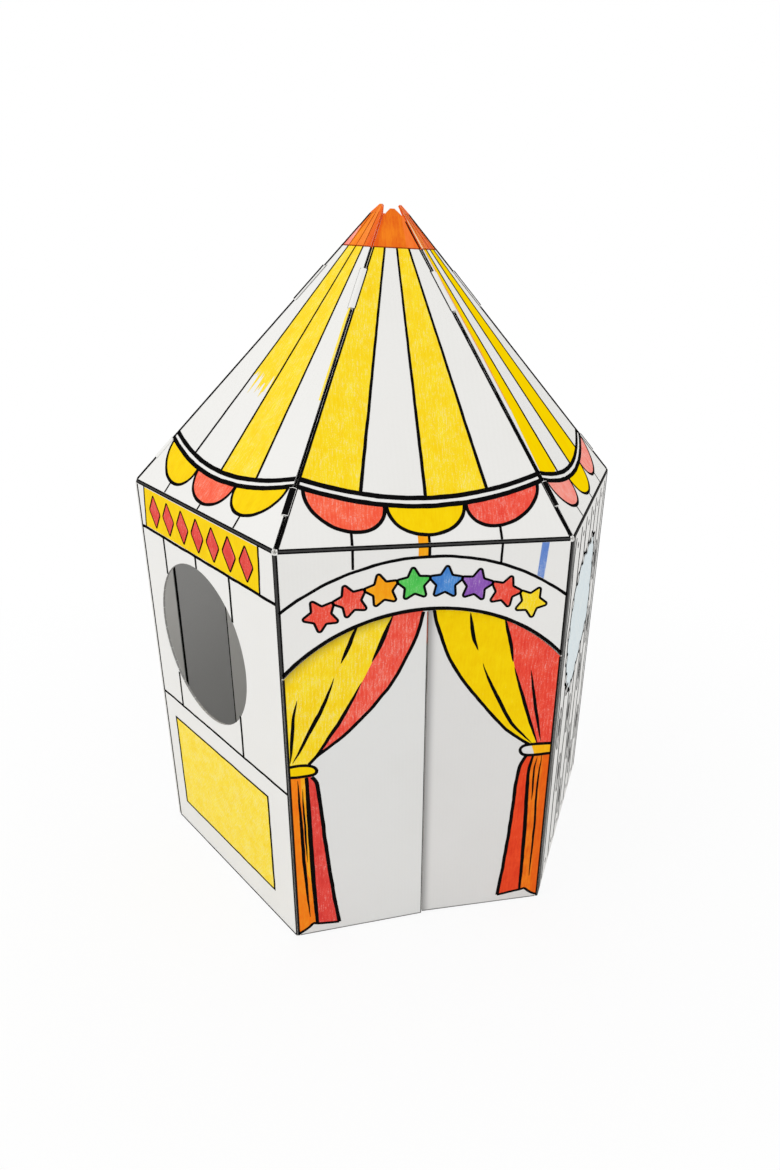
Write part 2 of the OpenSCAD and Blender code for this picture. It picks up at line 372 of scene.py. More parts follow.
def emblemTree():
    tree, keys, wire, given = startTree("emblemRow", {
        "count": 1, "points": 5, "outer": 30.0, "inner": 16.0, "round": 4.0, "line": 4.0, "turn": 0.0,
        "tall": 1.0, "material": None, "ink": None})
    path, count, points, outer, inner, rounding, line, turn, tall, material, ink = given
    spots = wire.node("GeometryNodeResampleCurve", {"mode": "COUNT"}, {"Curve": path, "Count": count})
    star = wire.node("GeometryNodeCurveStar", None, {
        "Points": points, "Inner Radius": inner, "Outer Radius": outer})
    soft = wire.node("GeometryNodeFilletCurve", {"mode": "POLY"}, {
        "Curve": star, "Count": 5, "Radius": rounding, "Limit Radius": True})
    spin = wire.node("ShaderNodeCombineXYZ", None, {2: turn})
    stretch = wire.node("ShaderNodeCombineXYZ", None, {0: 1.0, 1: tall, 2: 1.0})
    shape = wire.node("GeometryNodeTransform", None, {"Geometry": soft, "Rotation": spin, "Scale": stretch})
    filled = wire.node("GeometryNodeFillCurve", None, {"Curve": shape})
    band = ribbonAlong(wire, shape, line)
    raised = wire.node("GeometryNodeTransform", None, {"Geometry": band, "Translation": (0, 0, 0.1)})
    tangent = wire.node("ShaderNodeSeparateXYZ", None, {0: wire.node("GeometryNodeInputTangent")})
    swing = wire.maths("ARCTAN2", Wire(tree, tangent.socket.node.outputs[1]), tangent)
    heading = wire.node("ShaderNodeCombineXYZ", None, {2: swing})
    both = wire.node("GeometryNodeJoinGeometry")
    for part, finish in ((filled, material), (raised, ink)):
        row = wire.node("GeometryNodeInstanceOnPoints", None, {
            "Points": spots, "Instance": part, "Rotation": heading})
        tree.links.new(inFinish(wire, row, finish).socket, both.socket.node.inputs[0])
    wire.node("NodeGroupOutput", None, {0: both})
    return tree, keys


fluteLook = {"pitch": boardLook["flutePitch"] * 1000, "swing": 1.35, "radius": 0.28}


def fluteTree():
    tree, keys, wire, given = startTree("fluteLine", {**fluteLook, "material": None})
    path, pitchLength, swing, radius, material = given
    fine = wire.node("GeometryNodeResampleCurve", {"mode": "LENGTH"}, {"Curve": path, "Length": 0.8})
    length = wire.node("GeometryNodeSplineParameter", out=1)
    wave = wire.maths("SINE", wire.maths("DIVIDE", length * (2 * math.pi), pitchLength)) * swing
    shift = wire.node("ShaderNodeCombineXYZ", None, {2: wave})
    moved = wire.node("GeometryNodeSetPosition", None, {"Geometry": fine, "Offset": shift})
    ring = wire.node("GeometryNodeCurvePrimitiveCircle", {"mode": "RADIUS"}, {
        "Resolution": 5, "Radius": radius})
    paper = wire.node("GeometryNodeCurveToMesh", None, {"Curve": moved, "Profile Curve": ring})
    wire.node("NodeGroupOutput", None, {0: inFinish(wire, paper, material)})
    return tree, keys


inkTree, inkKeys = inkLineTree()
waveTree, waveKeys = fluteTree()
starTree, starKeys = emblemTree()
print("node trees:", len(bpy.data.node_groups))


def addObject(name, data):
    obj = bpy.data.objects.new(name, data)
    bpy.context.scene.collection.objects.link(obj)
    return obj


def drawPath(paths):
    data = bpy.data.curves.new("drawing", "CURVE")
    data.dimensions = "3D"
    for path in paths:
        spline = data.splines.new("POLY")
        spline.points.add(len(path) - 1)
        for point, place in zip(spline.points, path):
            point.co = (*place[:2], place[2] if len(place) > 2 else 0, 1)
    return addObject("drawing", data)


def runTree(obj, tree, keys, values):
    modifier = obj.modifiers.new("nodes", "NODES")
    modifier.node_group = tree
    for name, value in values.items():
        modifier[keys[name]] = value
    graph = bpy.context.evaluated_depsgraph_get()
    mesh = bpy.data.meshes.new_from_object(obj.evaluated_get(graph))
    bpy.data.objects.remove(obj)
    return mesh


# how far each layer of print lies off the board
lifts = {"field": 0.12, "second": 0.17, "ink": 0.26, "top": 0.32}


def slotOf(slots, name):
    if name not in slots:
        slots.append(name)
    return slots.index(name)


def addMesh(sheet, slots, mesh, lift, faceUp=True):
    # adds a mesh to the panel's sheet with its finishes, flat ones face up
    part = bmesh.new()
    part.from_mesh(mesh)
    for face in part.faces:
        if faceUp and face.normal.z < 0:
            face.normal_flip()
    names = [m.name if m else "" for m in mesh.materials]
    where = {}
    for vert in part.verts:
        where[vert] = sheet.verts.new((vert.co.x, vert.co.y, vert.co.z + lift))
    for face in part.faces:
        made = sheet.faces.new([where[v] for v in face.verts])
        made.material_index = slotOf(slots, names[face.material_index])
    part.free()
    bpy.data.meshes.remove(mesh)


def addField(sheet, slots, paint, outline, lift):
    verts = [sheet.verts.new((x, y, lift)) for x, y in outline]
    for tri in tessellate_polygon([[Vector((x, y, 0)) for x, y in outline]]):
        face = sheet.faces.new([verts[i] for i in tri])
        face.material_index = slotOf(slots, paints[paint].name)
        face.normal_update()
        if face.normal.z < 0:
            face.normal_flip()


def addStrip(sheet, slots, paint, places, outs):
    # rows of points along a fold or an edge, joined by faces that look outwards
    rows = [[sheet.verts.new(point) for point in row] for row in places]
    for lower, upper, out in zip(rows, rows[1:], outs):
        for i in range(len(lower) - 1):
            face = sheet.faces.new((lower[i], lower[i + 1], upper[i + 1], upper[i]))
            face.material_index = slotOf(slots, paints[paint].name)
            face.smooth = True
            face.normal_update()
            if face.normal.dot(Vector(out)) < 0:
                face.normal_flip()


def cutEdge(points, outs, paint="core", top=0.15, foot=0.15):
    # a strip across the board's thickness along a cut
    rows = [[(x, y, -top), (x, y, -card["board"] + foot)] for x, y in points]
    return paint, rows, [(x, y, 0) for x, y in outs]


def stroke(path, width, wobble=0.8, taper=0, thin=0, paint="ink", lift="ink"):
    return path, (width, wobble, taper, thin, paint, lift)


def panelPrint(name, body, plane, fields=(), inks=(), emblems=(), strips=(), flutes=()):
    sheet, slots = bmesh.new(), []
    for paint, outline, *lift in fields:
        addField(sheet, slots, paint, outline, lifts[lift[0] if lift else "field"])
    groups = {}
    for path, look in inks:
        groups.setdefault(look, []).append(path)
    for number, (look, paths) in enumerate(sorted(groups.items(), key=str)):
        width, wobble, taper, thin, paint, lift = look
        mesh = runTree(drawPath(paths), inkTree, inkKeys, {
            "width": float(width), "wobble": float(wobble), "taper": float(taper), "thin": float(thin),
            "seed": 3.0 + number, "material": paints[paint]})
        addMesh(sheet, slots, mesh, lifts[lift])
    for emblem in emblems:
        values = {k: v for k, v in emblem.items() if k in starKeys}
        mesh = runTree(drawPath([emblem["path"]]), starTree, starKeys, {
            **values, "material": paints[emblem["paint"]], "ink": paints["ink"]})
        addMesh(sheet, slots, mesh, lifts[emblem.get("lift", "second")])
    for strip in strips:
        addStrip(sheet, slots, *strip)
    for path in flutes:
        middle = drawPath([[(x, y, -card["board"] / 2) for x, y in path]])
        mesh = runTree(middle, waveTree, waveKeys, {**fluteLook, "material": paints["flute"]})
        addMesh(sheet, slots, mesh, 0, False)
    layer = sheet.loops.layers.uv.new("panel")
    for face in sheet.faces:
        for loop in face.loops:
            loop[layer].uv = (loop.vert.co.x / 1000, loop.vert.co.y / 1000)
    mesh = bpy.data.meshes.new(name)
    sheet.to_mesh(mesh)
    sheet.free()
    for label in slots:
        mesh.materials.append(bpy.data.materials[label])
    mesh.transform(Matrix.Scale(0.001, 4) @ plane)
    piece = addObject(name, mesh)
    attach(piece, body)
    print("print:", name, len(mesh.polygons), "faces")


# inked folds with the bends painted dark grey as painted shade: the line beside a bend, the bend's angle on
# walls and leaves, and where each corner's runs
fold = {
    "flat": 2.6, "wallBend": 30, "leafBend": 22,  # the leaf's is short, to clear the wall's as it opens
    "wall": (3, 781), "leaf": (3, 564), "header": (566.5, 781),
}


def cornerStrips(end, run, flat=fold["flat"], flatPaint="ink", bend=fold["wallBend"]):
    # half of a corner fold: a printed line on the flat and the bend painted dark grey as painted shade
    lift = lifts["ink"]
    reach = card["board"] + lift
    turns = [math.radians(bend * i / 3) for i in range(4)]
    arc = [(halfWall + reach * math.sin(a), -card["board"] + reach * math.cos(a)) for a in turns]
    strips = []
    for paint, section in ((flatPaint, [(halfWall - flat, lift), (halfWall, lift)]), ("foldInk", arc)):
        rows = [[(end * x, y, z) for x, z in section] for y in spread(*fold[run])]
        strips.append((paint, rows, [(end * 0.4, 0, 1)] * len(rows)))
    return strips


def eaveStrips():
    lift, top, flat = lifts["ink"], card["height"], fold["flat"]
    bend = card["board"] + lift
    reach = halfWall - card["relief"] - 0.6
    turns = [(math.pi / 2 - pitch) * i / 4 for i in range(5)]
    arc = [(top + bend * math.sin(a), -card["board"] + bend * math.cos(a)) for a in turns]
    rise = (arc[-1][0] + flat * math.sin(pitch), arc[-1][1] - flat * math.cos(pitch))
    strips = []
    # the eave's bend is painted dark grey as painted shade, between printed lines
    for paint, section in (("ink", [(top - flat, lift), arc[0]]), ("foldInk", arc), ("ink", [arc[-1], rise])):
        rows = [[(x, y, z) for y, z in section] for x in spread(-reach, reach)]
        strips.append((paint, rows, [(0, 0.6, 0.8)] * len(rows)))
    return strips


# roof gores: stripes, the double line above the scallops, scallops and short lines to the eave
roof = {
    "bandLow": 64.5, "bandHigh": 78.5, "sag": 37, "sagReach": 195, "capLine": 545, "ragged": 26,
    "bandLine": 8.2, "stripeLine": 5.8, "boldLine": 9.0, "shares": (-0.985, -0.5, 0, 0.5, 0.985),
    "scallopEdges": (-194, -66, 64, 194), "scallopBottoms": (27, 16, 29), "dropLines": (-124, -2, 118),
    "upperTab": (422, 501), "lowerTab": (56, 102),
}


def halfWidth(s):
    return halfWall * (1 - s / slant)


def onGore(places):
    # places given as a share of the gore's half width and a height up its slope
    return [(share * halfWidth(s), s) for share, s in places]


def upGore(share, heights):
    return onGore([(share, s) for s in heights])


def besideRidge(side, inset, heights):
    return [(side * (halfWidth(s) - inset), s) for s in heights]


def bandPoint(base, share):
    s = base
    for _ in range(6):
        s = base + roof["sag"] * (share * halfWidth(s) / roof["sagReach"]) ** 2
    return (share * halfWidth(s), s)


def stripeOutline(left, right, low, high, ragged=None):
    # a stripe from the double line, or from a ragged edge of wax, up to a given height
    if ragged:
        reach = roof["ragged"]
        bottom = onGore([(share, low + ragged.uniform(-reach, reach)) for share in evenly(left, right, 22)])
    else:
        bottom = [bandPoint(low, share) for share in evenly(left, right, 10)]
    return bottom + onGore([(right, high), (left, high)])


def scallopPath(index, steps=28):
    left, right = roof["scallopEdges"][index], roof["scallopEdges"][index + 1]
    middle, radius = (left + right) / 2, (right - left) / 2 - 1.5
    level = roof["bandLow"] + roof["sag"] * (middle / roof["sagReach"]) ** 2
    path = []
    for i in range(steps + 1):
        angle = math.pi * i / steps
        x = middle - radius * math.cos(angle)
        depth = (level - roof["scallopBottoms"][index]) * math.sin(angle) ** 0.86
        path.append((x, roof["bandLow"] + roof["sag"] * (x / roof["sagReach"]) ** 2 - depth))
    return path


def tipOf(turn):
    lower = card["rearDrop"] if turn > 1 else 0
    return slant - card["tip"] + (card["tipStep"] if turn % 2 else 0) - lower


def edgeStrips(turn, painted):
    # the cut edges in the ridge seams: inked below the coloured cap, carrying the printed ridge line and a
    # painted shadow in the seam; waxed above it
    tip, capLine = tipOf(turn), roof["capLine"]
    start = tip - card["tipClip"]
    lower, upper = roof["lowerTab"], roof["upperTab"]
    runs = [("ink", 4, lower[0] - 1), ("ink", lower[1] + 1, upper[0] - 1), ("ink", upper[1] + 1, capLine),
            (painted, capLine, start)]
    strips = []
    for side in (-1, 1):
        for paint, low, high in runs:
            edge = besideRidge(side, card["ridgeGap"] / 2 - 0.1, spread(low, high, 20))
            strips.append(cutEdge(edge, [(side, 0)] * len(edge), paint, 0.1, 0.2))
        clip = [(side * (halfWidth(start) - 0.3), start), (side * 4.1, tip + 0.1)]
        strips.append(cutEdge(clip, [(side, 1)] * 2, painted, 0.1, 0.2))
    return strips


def goreDrawing(turn, tabbed, stripes, scallops, cap, stripeLine=roof["stripeLine"]):
    fields, inks = [], []
    shares, tip, capLine = roof["shares"], tipOf(turn), roof["capLine"]
    for left, right, stripe in zip(shares, shares[1:], stripes):
        for colour, low, high, *ragged in stripe:
            fields.append((colour, stripeOutline(left, right, low, high, *ragged)))
    for i, colour in enumerate(scallops):
        path = scallopPath(i)
        if colour:
            fields.append((colour, path))
        inks.append(stroke(path, 6.0))
    for share in shares[1:-1]:
        start = bandPoint(roof["bandHigh"], share)[1]
        line = upGore(share, (start, 200, 320, 430, capLine))
        inks.append(stroke(line, stripeLine, wobble=0.4, thin=0.4))
    for base in (roof["bandLow"], roof["bandHigh"]):
        line = [bandPoint(base, 0.99 * (2 * i / 40 - 1)) for i in range(41)]
        inks.append(stroke(line, roof["bandLine"], wobble=0.6, lift="top"))
    inset, wide = (2.5, 4.4) if tabbed else (0.9, 1.4)
    for side in (-1, 1):
        ridge = besideRidge(side, inset, (2.6, 120, 260, 400, capLine))
        inks.append(stroke(ridge, wide, wobble=0.2, thin=0.4))
        if tabbed:
            inks.append(stroke(besideRidge(side, 4.0, roof["upperTab"]), 1.8, wobble=0.1))
        else:
            # the slot beyond the tab: a thin grey line, a painted shadow in the slit
            inks.append(stroke(besideRidge(side, 9, roof["upperTab"]), 1.6, wobble=0.1, paint="grey"))
    for x, bottom in zip(roof["dropLines"], roof["scallopBottoms"]):
        inks.append(stroke([(x, 3), (x, bottom - 2)], 4.4, wobble=0.3))
    start = tip - card["tipClip"]
    foot, shoulder = halfWidth(capLine) - 0.5, halfWidth(start) - 0.6
    capFoot = [(-foot, capLine), (foot, capLine)]
    capHead = [(shoulder, start), (3.8, tip - 0.3), (-3.8, tip - 0.3), (-shoulder, start)]
    fields.append((cap, capFoot + capHead))
    inks.append(stroke(capFoot, 2.2, wobble=0.3, paint="rust"))
    return fields, inks


def gorePrint(name, turn, fields, inks, edgePaint):
    panelPrint(name, "house", gorePlane(turn), fields, inks, (), edgeStrips(turn, edgePaint))


def capField(paint, high, left, right, *narrow):
    # a patch of the cap between two shares of its width, from its foot to a given height
    foot, head = roof["capLine"] + 1, roof["capLine"] + high
    corners = [(left, foot), (right, foot)] + [(share, head) for share in narrow or (right, left)]
    return paint, onGore(corners), "second"


def capLines(turn):
    heights = (roof["capLine"], 590, tipOf(turn) - card["tipClip"])
    return [stroke(upGore(share, heights), 1.7, wobble=0.2, taper=0.5, paint="rust", lift="top")
            for share in roof["shares"][1:-1]]


def ridgeLine(side, wide):
    line = besideRidge(side, wide / 2, (3, 150, 300, 450, 615))
    return stroke(line, wide, wobble=0.1, thin=0.3, lift="top")


fullHeight = (roof["bandHigh"], roof["capLine"])
yellowStripe = [("yellow", *fullHeight)]
fields, inks = goreDrawing(
    0, True, [yellowStripe, [], yellowStripe, []], ("scallopRed", "denseYellow", "red"), "orange")
fields += [
    ("amber", [(-20, 2.6), (-4, 2.6), (-4, 17), (-20, 17)]),
    capField("deepOrange", 70, -0.98, -0.8, -0.86, -0.98),
    capField("coral", 66, 0.42, 0.98, 0.97, 0.8),
]
inks.append(stroke(besideRidge(1, 1.6, (545, 570, 600)), 2.8, wobble=0.1, taper=0.3))
gorePrint("frontGorePrint", 0, fields, inks, "orange")

# the second stripe's wax stops at a ragged edge, and a smear ran past its own stripe
raggedStripe = [("yellow", 250, roof["capLine"], random.Random(5))]
smear = [(0.95, 250), (0.93, 350), (0.91, 400), (0.93, 424), (0.98, 424), (0.985, 250)]
fields, inks = goreDrawing(
    -1, False, [[], raggedStripe, yellowStripe, []], ("denseYellow", "scallopRed", "denseYellow"), "orange")
fields += [
    capField("salmon", 42, -0.98, -0.52, -0.7, -0.98),
    capField("tailOrange", 70, -0.5, 0),
    capField("paleOrange", 84, 0, 0.5),
    capField("deepOrange", 84, 0.52, 0.985),
    ("paleYellow", onGore(smear)),
]
inks += [ridgeLine(-1, 6.0), *capLines(-1)]
gorePrint("leftGorePrint", -1, fields, inks, "deepOrange")

# the first stripe leaves a white margin that widens up the ridge
margin = [(-0.97, 118), (-0.86, 230), (-0.8, 340), (-0.77, 450), (-0.8, 545)]
partStripe = onGore(margin) + upGore(-0.5, (545, 320, 100))
partStripe += [bandPoint(roof["bandHigh"], share) for share in (-0.6, -0.8)]
brightStripe = [("brightYellow", *fullHeight)]
fields, inks = goreDrawing(
    1, False, [[], [], brightStripe, []], ("salmon", "brightYellow", "salmon"), "deepOrange",
    roof["boldLine"])
fields += [
    ("brightYellow", partStripe),
    capField("cream", 58, -0.985, -0.8, -0.86, -0.985),
    capField("orange", 84, -0.8, -0.3, -0.2, -0.95),
]
inks.append(stroke(partStripe[1:5], 7.0, wobble=0.3, taper=0.6, paint="amber"))
inks += [ridgeLine(1, 12.0), *capLines(1)]
gorePrint("rightGorePrint", 1, fields, inks, "deepOrange")
for number, turn in enumerate((2, 3, 4)):
    fields, inks = goreDrawing(turn, turn != 3, [], (None, None, None), "orange")
    gorePrint(f"rearGorePrint{number}", turn, fields, inks, "orange")

# the lines along the ridges run on over the lock tabs that show from the front
tab = {
    "thick": 1.5, "fit": 0.3, "lower": (60, 108), "upper": (450, 532),
    "inks": {  # ridge, hand, reach to both sides of the ridge, which tab
        "leftTabInk": (-1, -1, 2.0, 6.0, "lower"), "rightTabInk": (0, 1, 2.4, 5.6, "lower"),
        "farLeftTabInk": (-2, 1, 1.0, 4.4, "upper"), "farRightTabInk": (1, -1, 1.0, 5.6, "upper"),
        "lowRightTabInk": (1, -1, 1.0, 4.6, "lower"),
    },
}
halfFold = math.acos(math.sin(pitch) ** 2 * 0.5 + math.cos(pitch) ** 2) / 2
lowSide = card["board"] * math.cos(2 * halfFold) + tab["fit"]
topSide = card["board"] + tab["fit"]
skin = tab["thick"] + lifts["field"]
knee = ((topSide - lowSide) / (2 * math.sin(halfFold)), (lowSide + topSide) / (2 * math.cos(halfFold)))


def acrossRidge(u, v):
    return (v * math.sin(halfFold) + u * math.cos(halfFold), v * math.cos(halfFold) - u * math.sin(halfFold))


for name, (turn, hand, near, far, which) in tab["inks"].items():
    first, last = acrossRidge(near, lowSide + skin), acrossRidge(far, topSide + skin)
    bend = [(knee[0] + skin * math.sin(a), knee[1] + skin * math.cos(a)) for a in (-halfFold, 0, halfFold)]
    section = [(-first[0], first[1]), *bend, last]
    low, high = tab[which]
    rows = [[(hand * x, y, z) for x, z in section] for y in spread(low + 1, high - 1, 6)]
    panelPrint(name, "house", ridgePlane(turn), strips=[("ink", rows, [(0, 0, 1)] * len(rows))])

# header over the doors: two arch lines, a row of stars between them, short lines up to the eave
header = {
    "topArch": (385, 382), "starSpan": 29.5, "starSize": 33.0, "starWaist": 16.6,
    "starColours": ("red", "red", "amber", "green", "blue", "purple", "red", "yellow"),
}
topRadius, topMiddle = header["topArch"]
inks = [
    stroke(arcLine(topRadius, topMiddle, -halfWall, halfWall), 5.2),
    stroke(arcLine(archRadius + 3.2, archMiddle, -halfWall, halfWall), 6.4, wobble=0.2),
    stroke([(-124, 783), (-124, 751)], 4.2, wobble=0.3),
    stroke([(-2, 783), (-2, 768)], 4.8, wobble=0.3),
    stroke([(119, 783), (118, 748)], 4.2, wobble=0.3),
]
fields = [
    ("amber", [(-20, 784), (-20, 768), (-4, 768), (-4, 784)]),
    ("barBlue", [(187, 782), (183, 724), (195, 717), (200, 782)]),
]
emblems = []
for number, colour in enumerate(header["starColours"]):
    lean = math.radians(header["starSpan"] * (number / 3.5 - 1))
    x, y = onArch((archRadius + topRadius) / 2 + 2, [lean], (archMiddle + topMiddle) / 2)[0]
    emblems.append({
        "path": [(x, y), (x + 1, y)], "paint": colour, "count": 1, "outer": header["starSize"],
        "inner": header["starWaist"], "turn": math.pi / 2 - lean, "round": 3.5, "line": 4.2})
bends = [math.radians(a) for a in range(-47, 48)]
archEdge = onArch(archRadius - 0.06, bends)
strips = eaveStrips() + cornerStrips(-1, "header") + cornerStrips(1, "header")
strips.append(cutEdge(archEdge, [(-math.sin(a), -math.cos(a)) for a in bends]))
panelPrint("headerPrint", "house", wallPlane(0), fields, inks, emblems, strips, [archEdge])

# door leaves: drawn curtains tied back at the corners
leaf = {"archGap": 1.6, "edgeGap": 1.44, "sideGap": 0.94, "side": (3, 669), "foot": (2, 236), "footLine": 3.4}


def archSpan(fromX, toX):
    return arcLine(archRadius - leaf["archGap"], archMiddle, fromX, toX, 24)


def curtainLines(look):
    # the curtain's shapes as smooth lines, with the hem parted where the tail's two colours meet
    steps = {"inner": 4, "seam": 4, "tie": 6, "tail": 4, "split": 4, "hem": 5}
    lines = {part: smooth(look[part], count) for part, count in steps.items()}
    lines["hemIn"] = [p for p in lines["hem"] if abs(p[0]) <= look["parting"]]
    lines["hemOut"] = [p for p in lines["hem"] if abs(p[0]) >= look["parting"]]
    return lines


def leafPrint(name, body, hand, look, lines, fields, moreInks=()):
    widths = {"inner": 6.0, "tie": look["tieLine"], "tail": 7.0, "hem": 5.6}
    inks = [stroke(lines[part], width) for part, width in widths.items()]
    inks += moreInks
    inks += [stroke(smooth(points), width, taper=taper) for width, taper, points in look["folds"]]
    foot = [(x, leaf["footLine"]) for x in sorted(hand * x for x in leaf["foot"])]
    inks.append(stroke(foot, 2.0, wobble=0.1, paint="grey"))
    # the cut edges along the arch and the free side
    bends = [hand * math.radians(a) for a in range(0, 48)]
    top = onArch(archRadius - leaf["edgeGap"], bends)
    top[0] = (hand * 1.0, top[0][1])
    side = [(hand * leaf["sideGap"], y) for y in spread(*leaf["side"], 40)]
    strips = [cutEdge(top, [(math.sin(a), math.cos(a)) for a in bends]),
              cutEdge(side, [(-hand, 0)] * len(side)),
              *cornerStrips(hand, "leaf", bend=fold["leafBend"])]
    panelPrint(name, body, leafPlane(hand), fields, inks, (), strips, [top])


leftCurtain = {
    "inner": [(-9, 668), (-14, 643), (-23, 616), (-38, 583), (-53, 553), (-69, 528), (-90, 501), (-106, 482),
              (-128, 460), (-149, 441), (-171, 424), (-190, 409), (-206, 393)],
    "seam": [(-61, 664), (-74, 627), (-90, 592), (-111, 548), (-127, 517), (-148, 478), (-170, 444),
             (-190, 412), (-207, 392)],
    "tie": [(-240, 392), (-219, 393), (-202, 389), (-193, 380), (-198, 371), (-221, 369), (-240, 371)],
    "tail": [(-202, 366), (-194, 352), (-190, 318), (-186, 262), (-183, 213), (-174, 115), (-163, 19)],
    "split": [(-211, 366), (-210, 300), (-209, 217), (-207, 120), (-204, 25)],
    "hem": [(-163, 19), (-184, 22), (-204, 25), (-212, 27), (-220, 19), (-230, 12), (-240, 6)],
    "parting": 204, "tieLine": 5.8,
    "folds": [  # width, taper, path
        (7.5, 1, [(-60, 666), (-70, 640), (-80, 615), (-96, 582)]),
        (7.0, 1, [(-112, 546), (-127, 517), (-148, 478), (-170, 444), (-190, 412), (-210, 391)]),
        (7.0, 1, [(-117, 655), (-127, 632), (-135, 611), (-147, 584)]),
        (7.0, 1, [(-158, 560), (-167, 534), (-176, 512), (-190, 481), (-207, 449), (-233, 398)]),
        (6.0, 1, [(-220, 524), (-225, 500), (-228, 483), (-234, 424), (-237, 398)]),
        (6.2, 0.9, [(-226, 362), (-224, 256), (-222, 162), (-217, 44)]),
        (3.6, 1, [(-219, 345), (-218, 260), (-216, 176)]),
    ],
}
lines = curtainLines(leftCurtain)
inner, seam, split = lines["inner"], lines["seam"], lines["split"]
fields = [
    ("curtainYellow", archSpan(-240, -61) + seam[1:] + [(-240, 392)]),
    ("curtainRed", archSpan(-61, -9) + inner[1:] + seam[::-1][:-1]),
    ("denseYellow", lines["tie"]),
    ("tailOrange", [(-240, 368), (-211, 368)] + split + lines["hemOut"]),
    ("amber", [(-221, 368), (-211, 368)] + split[:13] + [(-218, 150)], "second"),
    ("deepRed", [(-211, 368), (-202, 368)] + lines["tail"] + lines["hemIn"] + split[::-1]),
]
inks = [
    stroke(split, 8.4, wobble=0.5, taper=0.3),
    # a dark line along the free edge, a painted shadow of the split
    stroke([(-2.0, 4), (-2.0, 300), (-2.0, 610)], 1.6, wobble=0.05, paint="foldInk"),
    stroke([(-2.0, 606), (-2.0, 668)], 1.7, wobble=0.05, paint="rust"),
]
leafPrint("leftDoorPrint", "left_leaf", -1, leftCurtain, lines, fields, inks)

rightCurtain = {
    "inner": [(10, 667), (16, 640), (25, 611), (36, 580), (48, 556), (65, 527), (83, 503), (104, 474),
              (125, 447), (147, 422), (169, 402), (196, 381)],
    "seam": [(134, 644), (143, 610), (151, 574), (155, 555), (163, 524), (174, 492), (189, 445), (210, 380)],
    "tie": [(240, 380), (215, 381), (188, 380), (179, 371), (187, 359), (212, 357), (240, 358)],
    "tail": [(192, 357), (181, 333), (176, 292), (174, 249), (172, 213), (165, 115), (155, 19)],
    "split": [(205, 357), (200, 300), (202, 217), (203, 120), (202, 25)],
    "hem": [(155, 19), (178, 23), (202, 26), (212, 28), (220, 20), (230, 12), (240, 7)],
    "parting": 202, "tieLine": 6.2,
    "folds": [
        (6.6, 0.8, [(133, 646), (143, 610), (150, 578), (153, 560)]),
        (6.6, 0.9, [(156, 548), (163, 524), (174, 492), (189, 445), (212, 380)]),
        (7.0, 1, [(72, 660), (76, 630), (80, 612), (89, 586)]),
        (7.0, 1, [(98, 562), (109, 530), (122, 504), (141, 464), (161, 429), (202, 382)]),
        (6.0, 1, [(187, 542), (192, 513), (198, 481), (206, 442), (218, 386)]),
        (8.0, 0.4, [(205, 355), (199, 318), (200, 261), (202, 150), (202, 28)]),
        (4.6, 0.8, [(222, 354), (219, 280), (221, 190), (220, 60)]),
        (4.0, 1, [(214, 354), (210, 320), (211, 250)]),
    ],
}
lines = curtainLines(rightCurtain)
inner, seam, split = lines["inner"], lines["seam"], lines["split"]
fields = [
    ("denseYellow", archSpan(10, 134) + seam[1:] + inner[::-1]),
    ("rightRed", archSpan(134, 240) + [(240, 380)] + seam[::-1][:-1]),
    ("tieAmber", [(240, 380), (200, 381), (208, 357), (240, 358)]),
    ("fireRed", [(205, 358), (192, 358)] + lines["tail"] + lines["hemIn"] + split[::-1]),
    ("orange", [(240, 358), (205, 358)] + split + lines["hemOut"]),
    ("deepOrange", [(240, 358), (226, 358), (224, 200), (224, 20), (240, 8)], "second"),
]
leafPrint("rightDoorPrint", "right_leaf", 1, rightCurtain, lines, fields)

# left wall: a yellow band with diamonds, planks, wainscot with a yellow box, round window rim
leftWall = {
    "window": (-31, 518, 157), "planks": (-146, -23, 94), "upperOnly": (-23,),
    "diamonds": {
        "count": 7, "points": 4, "outer": 22.0, "inner": 15.6, "tall": 1.45, "round": 3.0, "line": 3.6},
}
wx, wy, wr = leftWall["window"]
fields = [
    ("denseYellow", [(-216, 703), (193, 701), (197, 781), (-206, 781)]),
    ("paleYellow", [(-190, 64), (169, 66), (169, 288), (-191, 284)]),
]
inks = [
    stroke([(-234, 699), (239, 698)], 6.0),
    stroke([(-205, 783), (-216, 702)], 4.4),
    stroke([(197, 783), (193, 700)], 5.0),
    stroke([(-234, 331), (239, 333)], 5.4),
    stroke([(-193, 64), (171, 66)], 4.4),
    stroke([(169, 64), (169, 290)], 5.6),
    stroke([(171, 288), (-193, 284)], 4.4),
    stroke([(-191, 286), (-190, 62)], 5.6),
    stroke([(-233.5, 3), (-233.5, 400), (-233.5, 781)], 4.6, wobble=0.1),
    stroke([(-234, 2.2), (239, 2.2)], 3.4, wobble=0.2),
]
for x in leftWall["planks"]:
    reach = math.sqrt(wr * wr - (x - wx) ** 2)
    inks.append(stroke([(x, 698), (x, wy + reach)], 6.2, wobble=0.5))
    if x not in leftWall["upperOnly"]:
        inks.append(stroke([(x - 2, wy - reach), (x - 3, 332)], 6.2, wobble=0.5))
emblems = [{"path": [(-170, 741), (156, 740)], "paint": "deepRed", **leftWall["diamonds"]}]
bends = [math.radians(2 * a) for a in range(181)]
rim = [(wx + (wr - 0.15) * math.cos(a), wy + (wr - 0.15) * math.sin(a)) for a in bends]
strips = eaveStrips() + cornerStrips(1, "wall")
strips.append(cutEdge(rim, [(-math.cos(a), -math.sin(a)) for a in bends], "rim"))
panelPrint("leftWallPrint", "house", wallPlane(-1), fields, inks, emblems, strips,
           [rim[35:56], rim[125:146]])

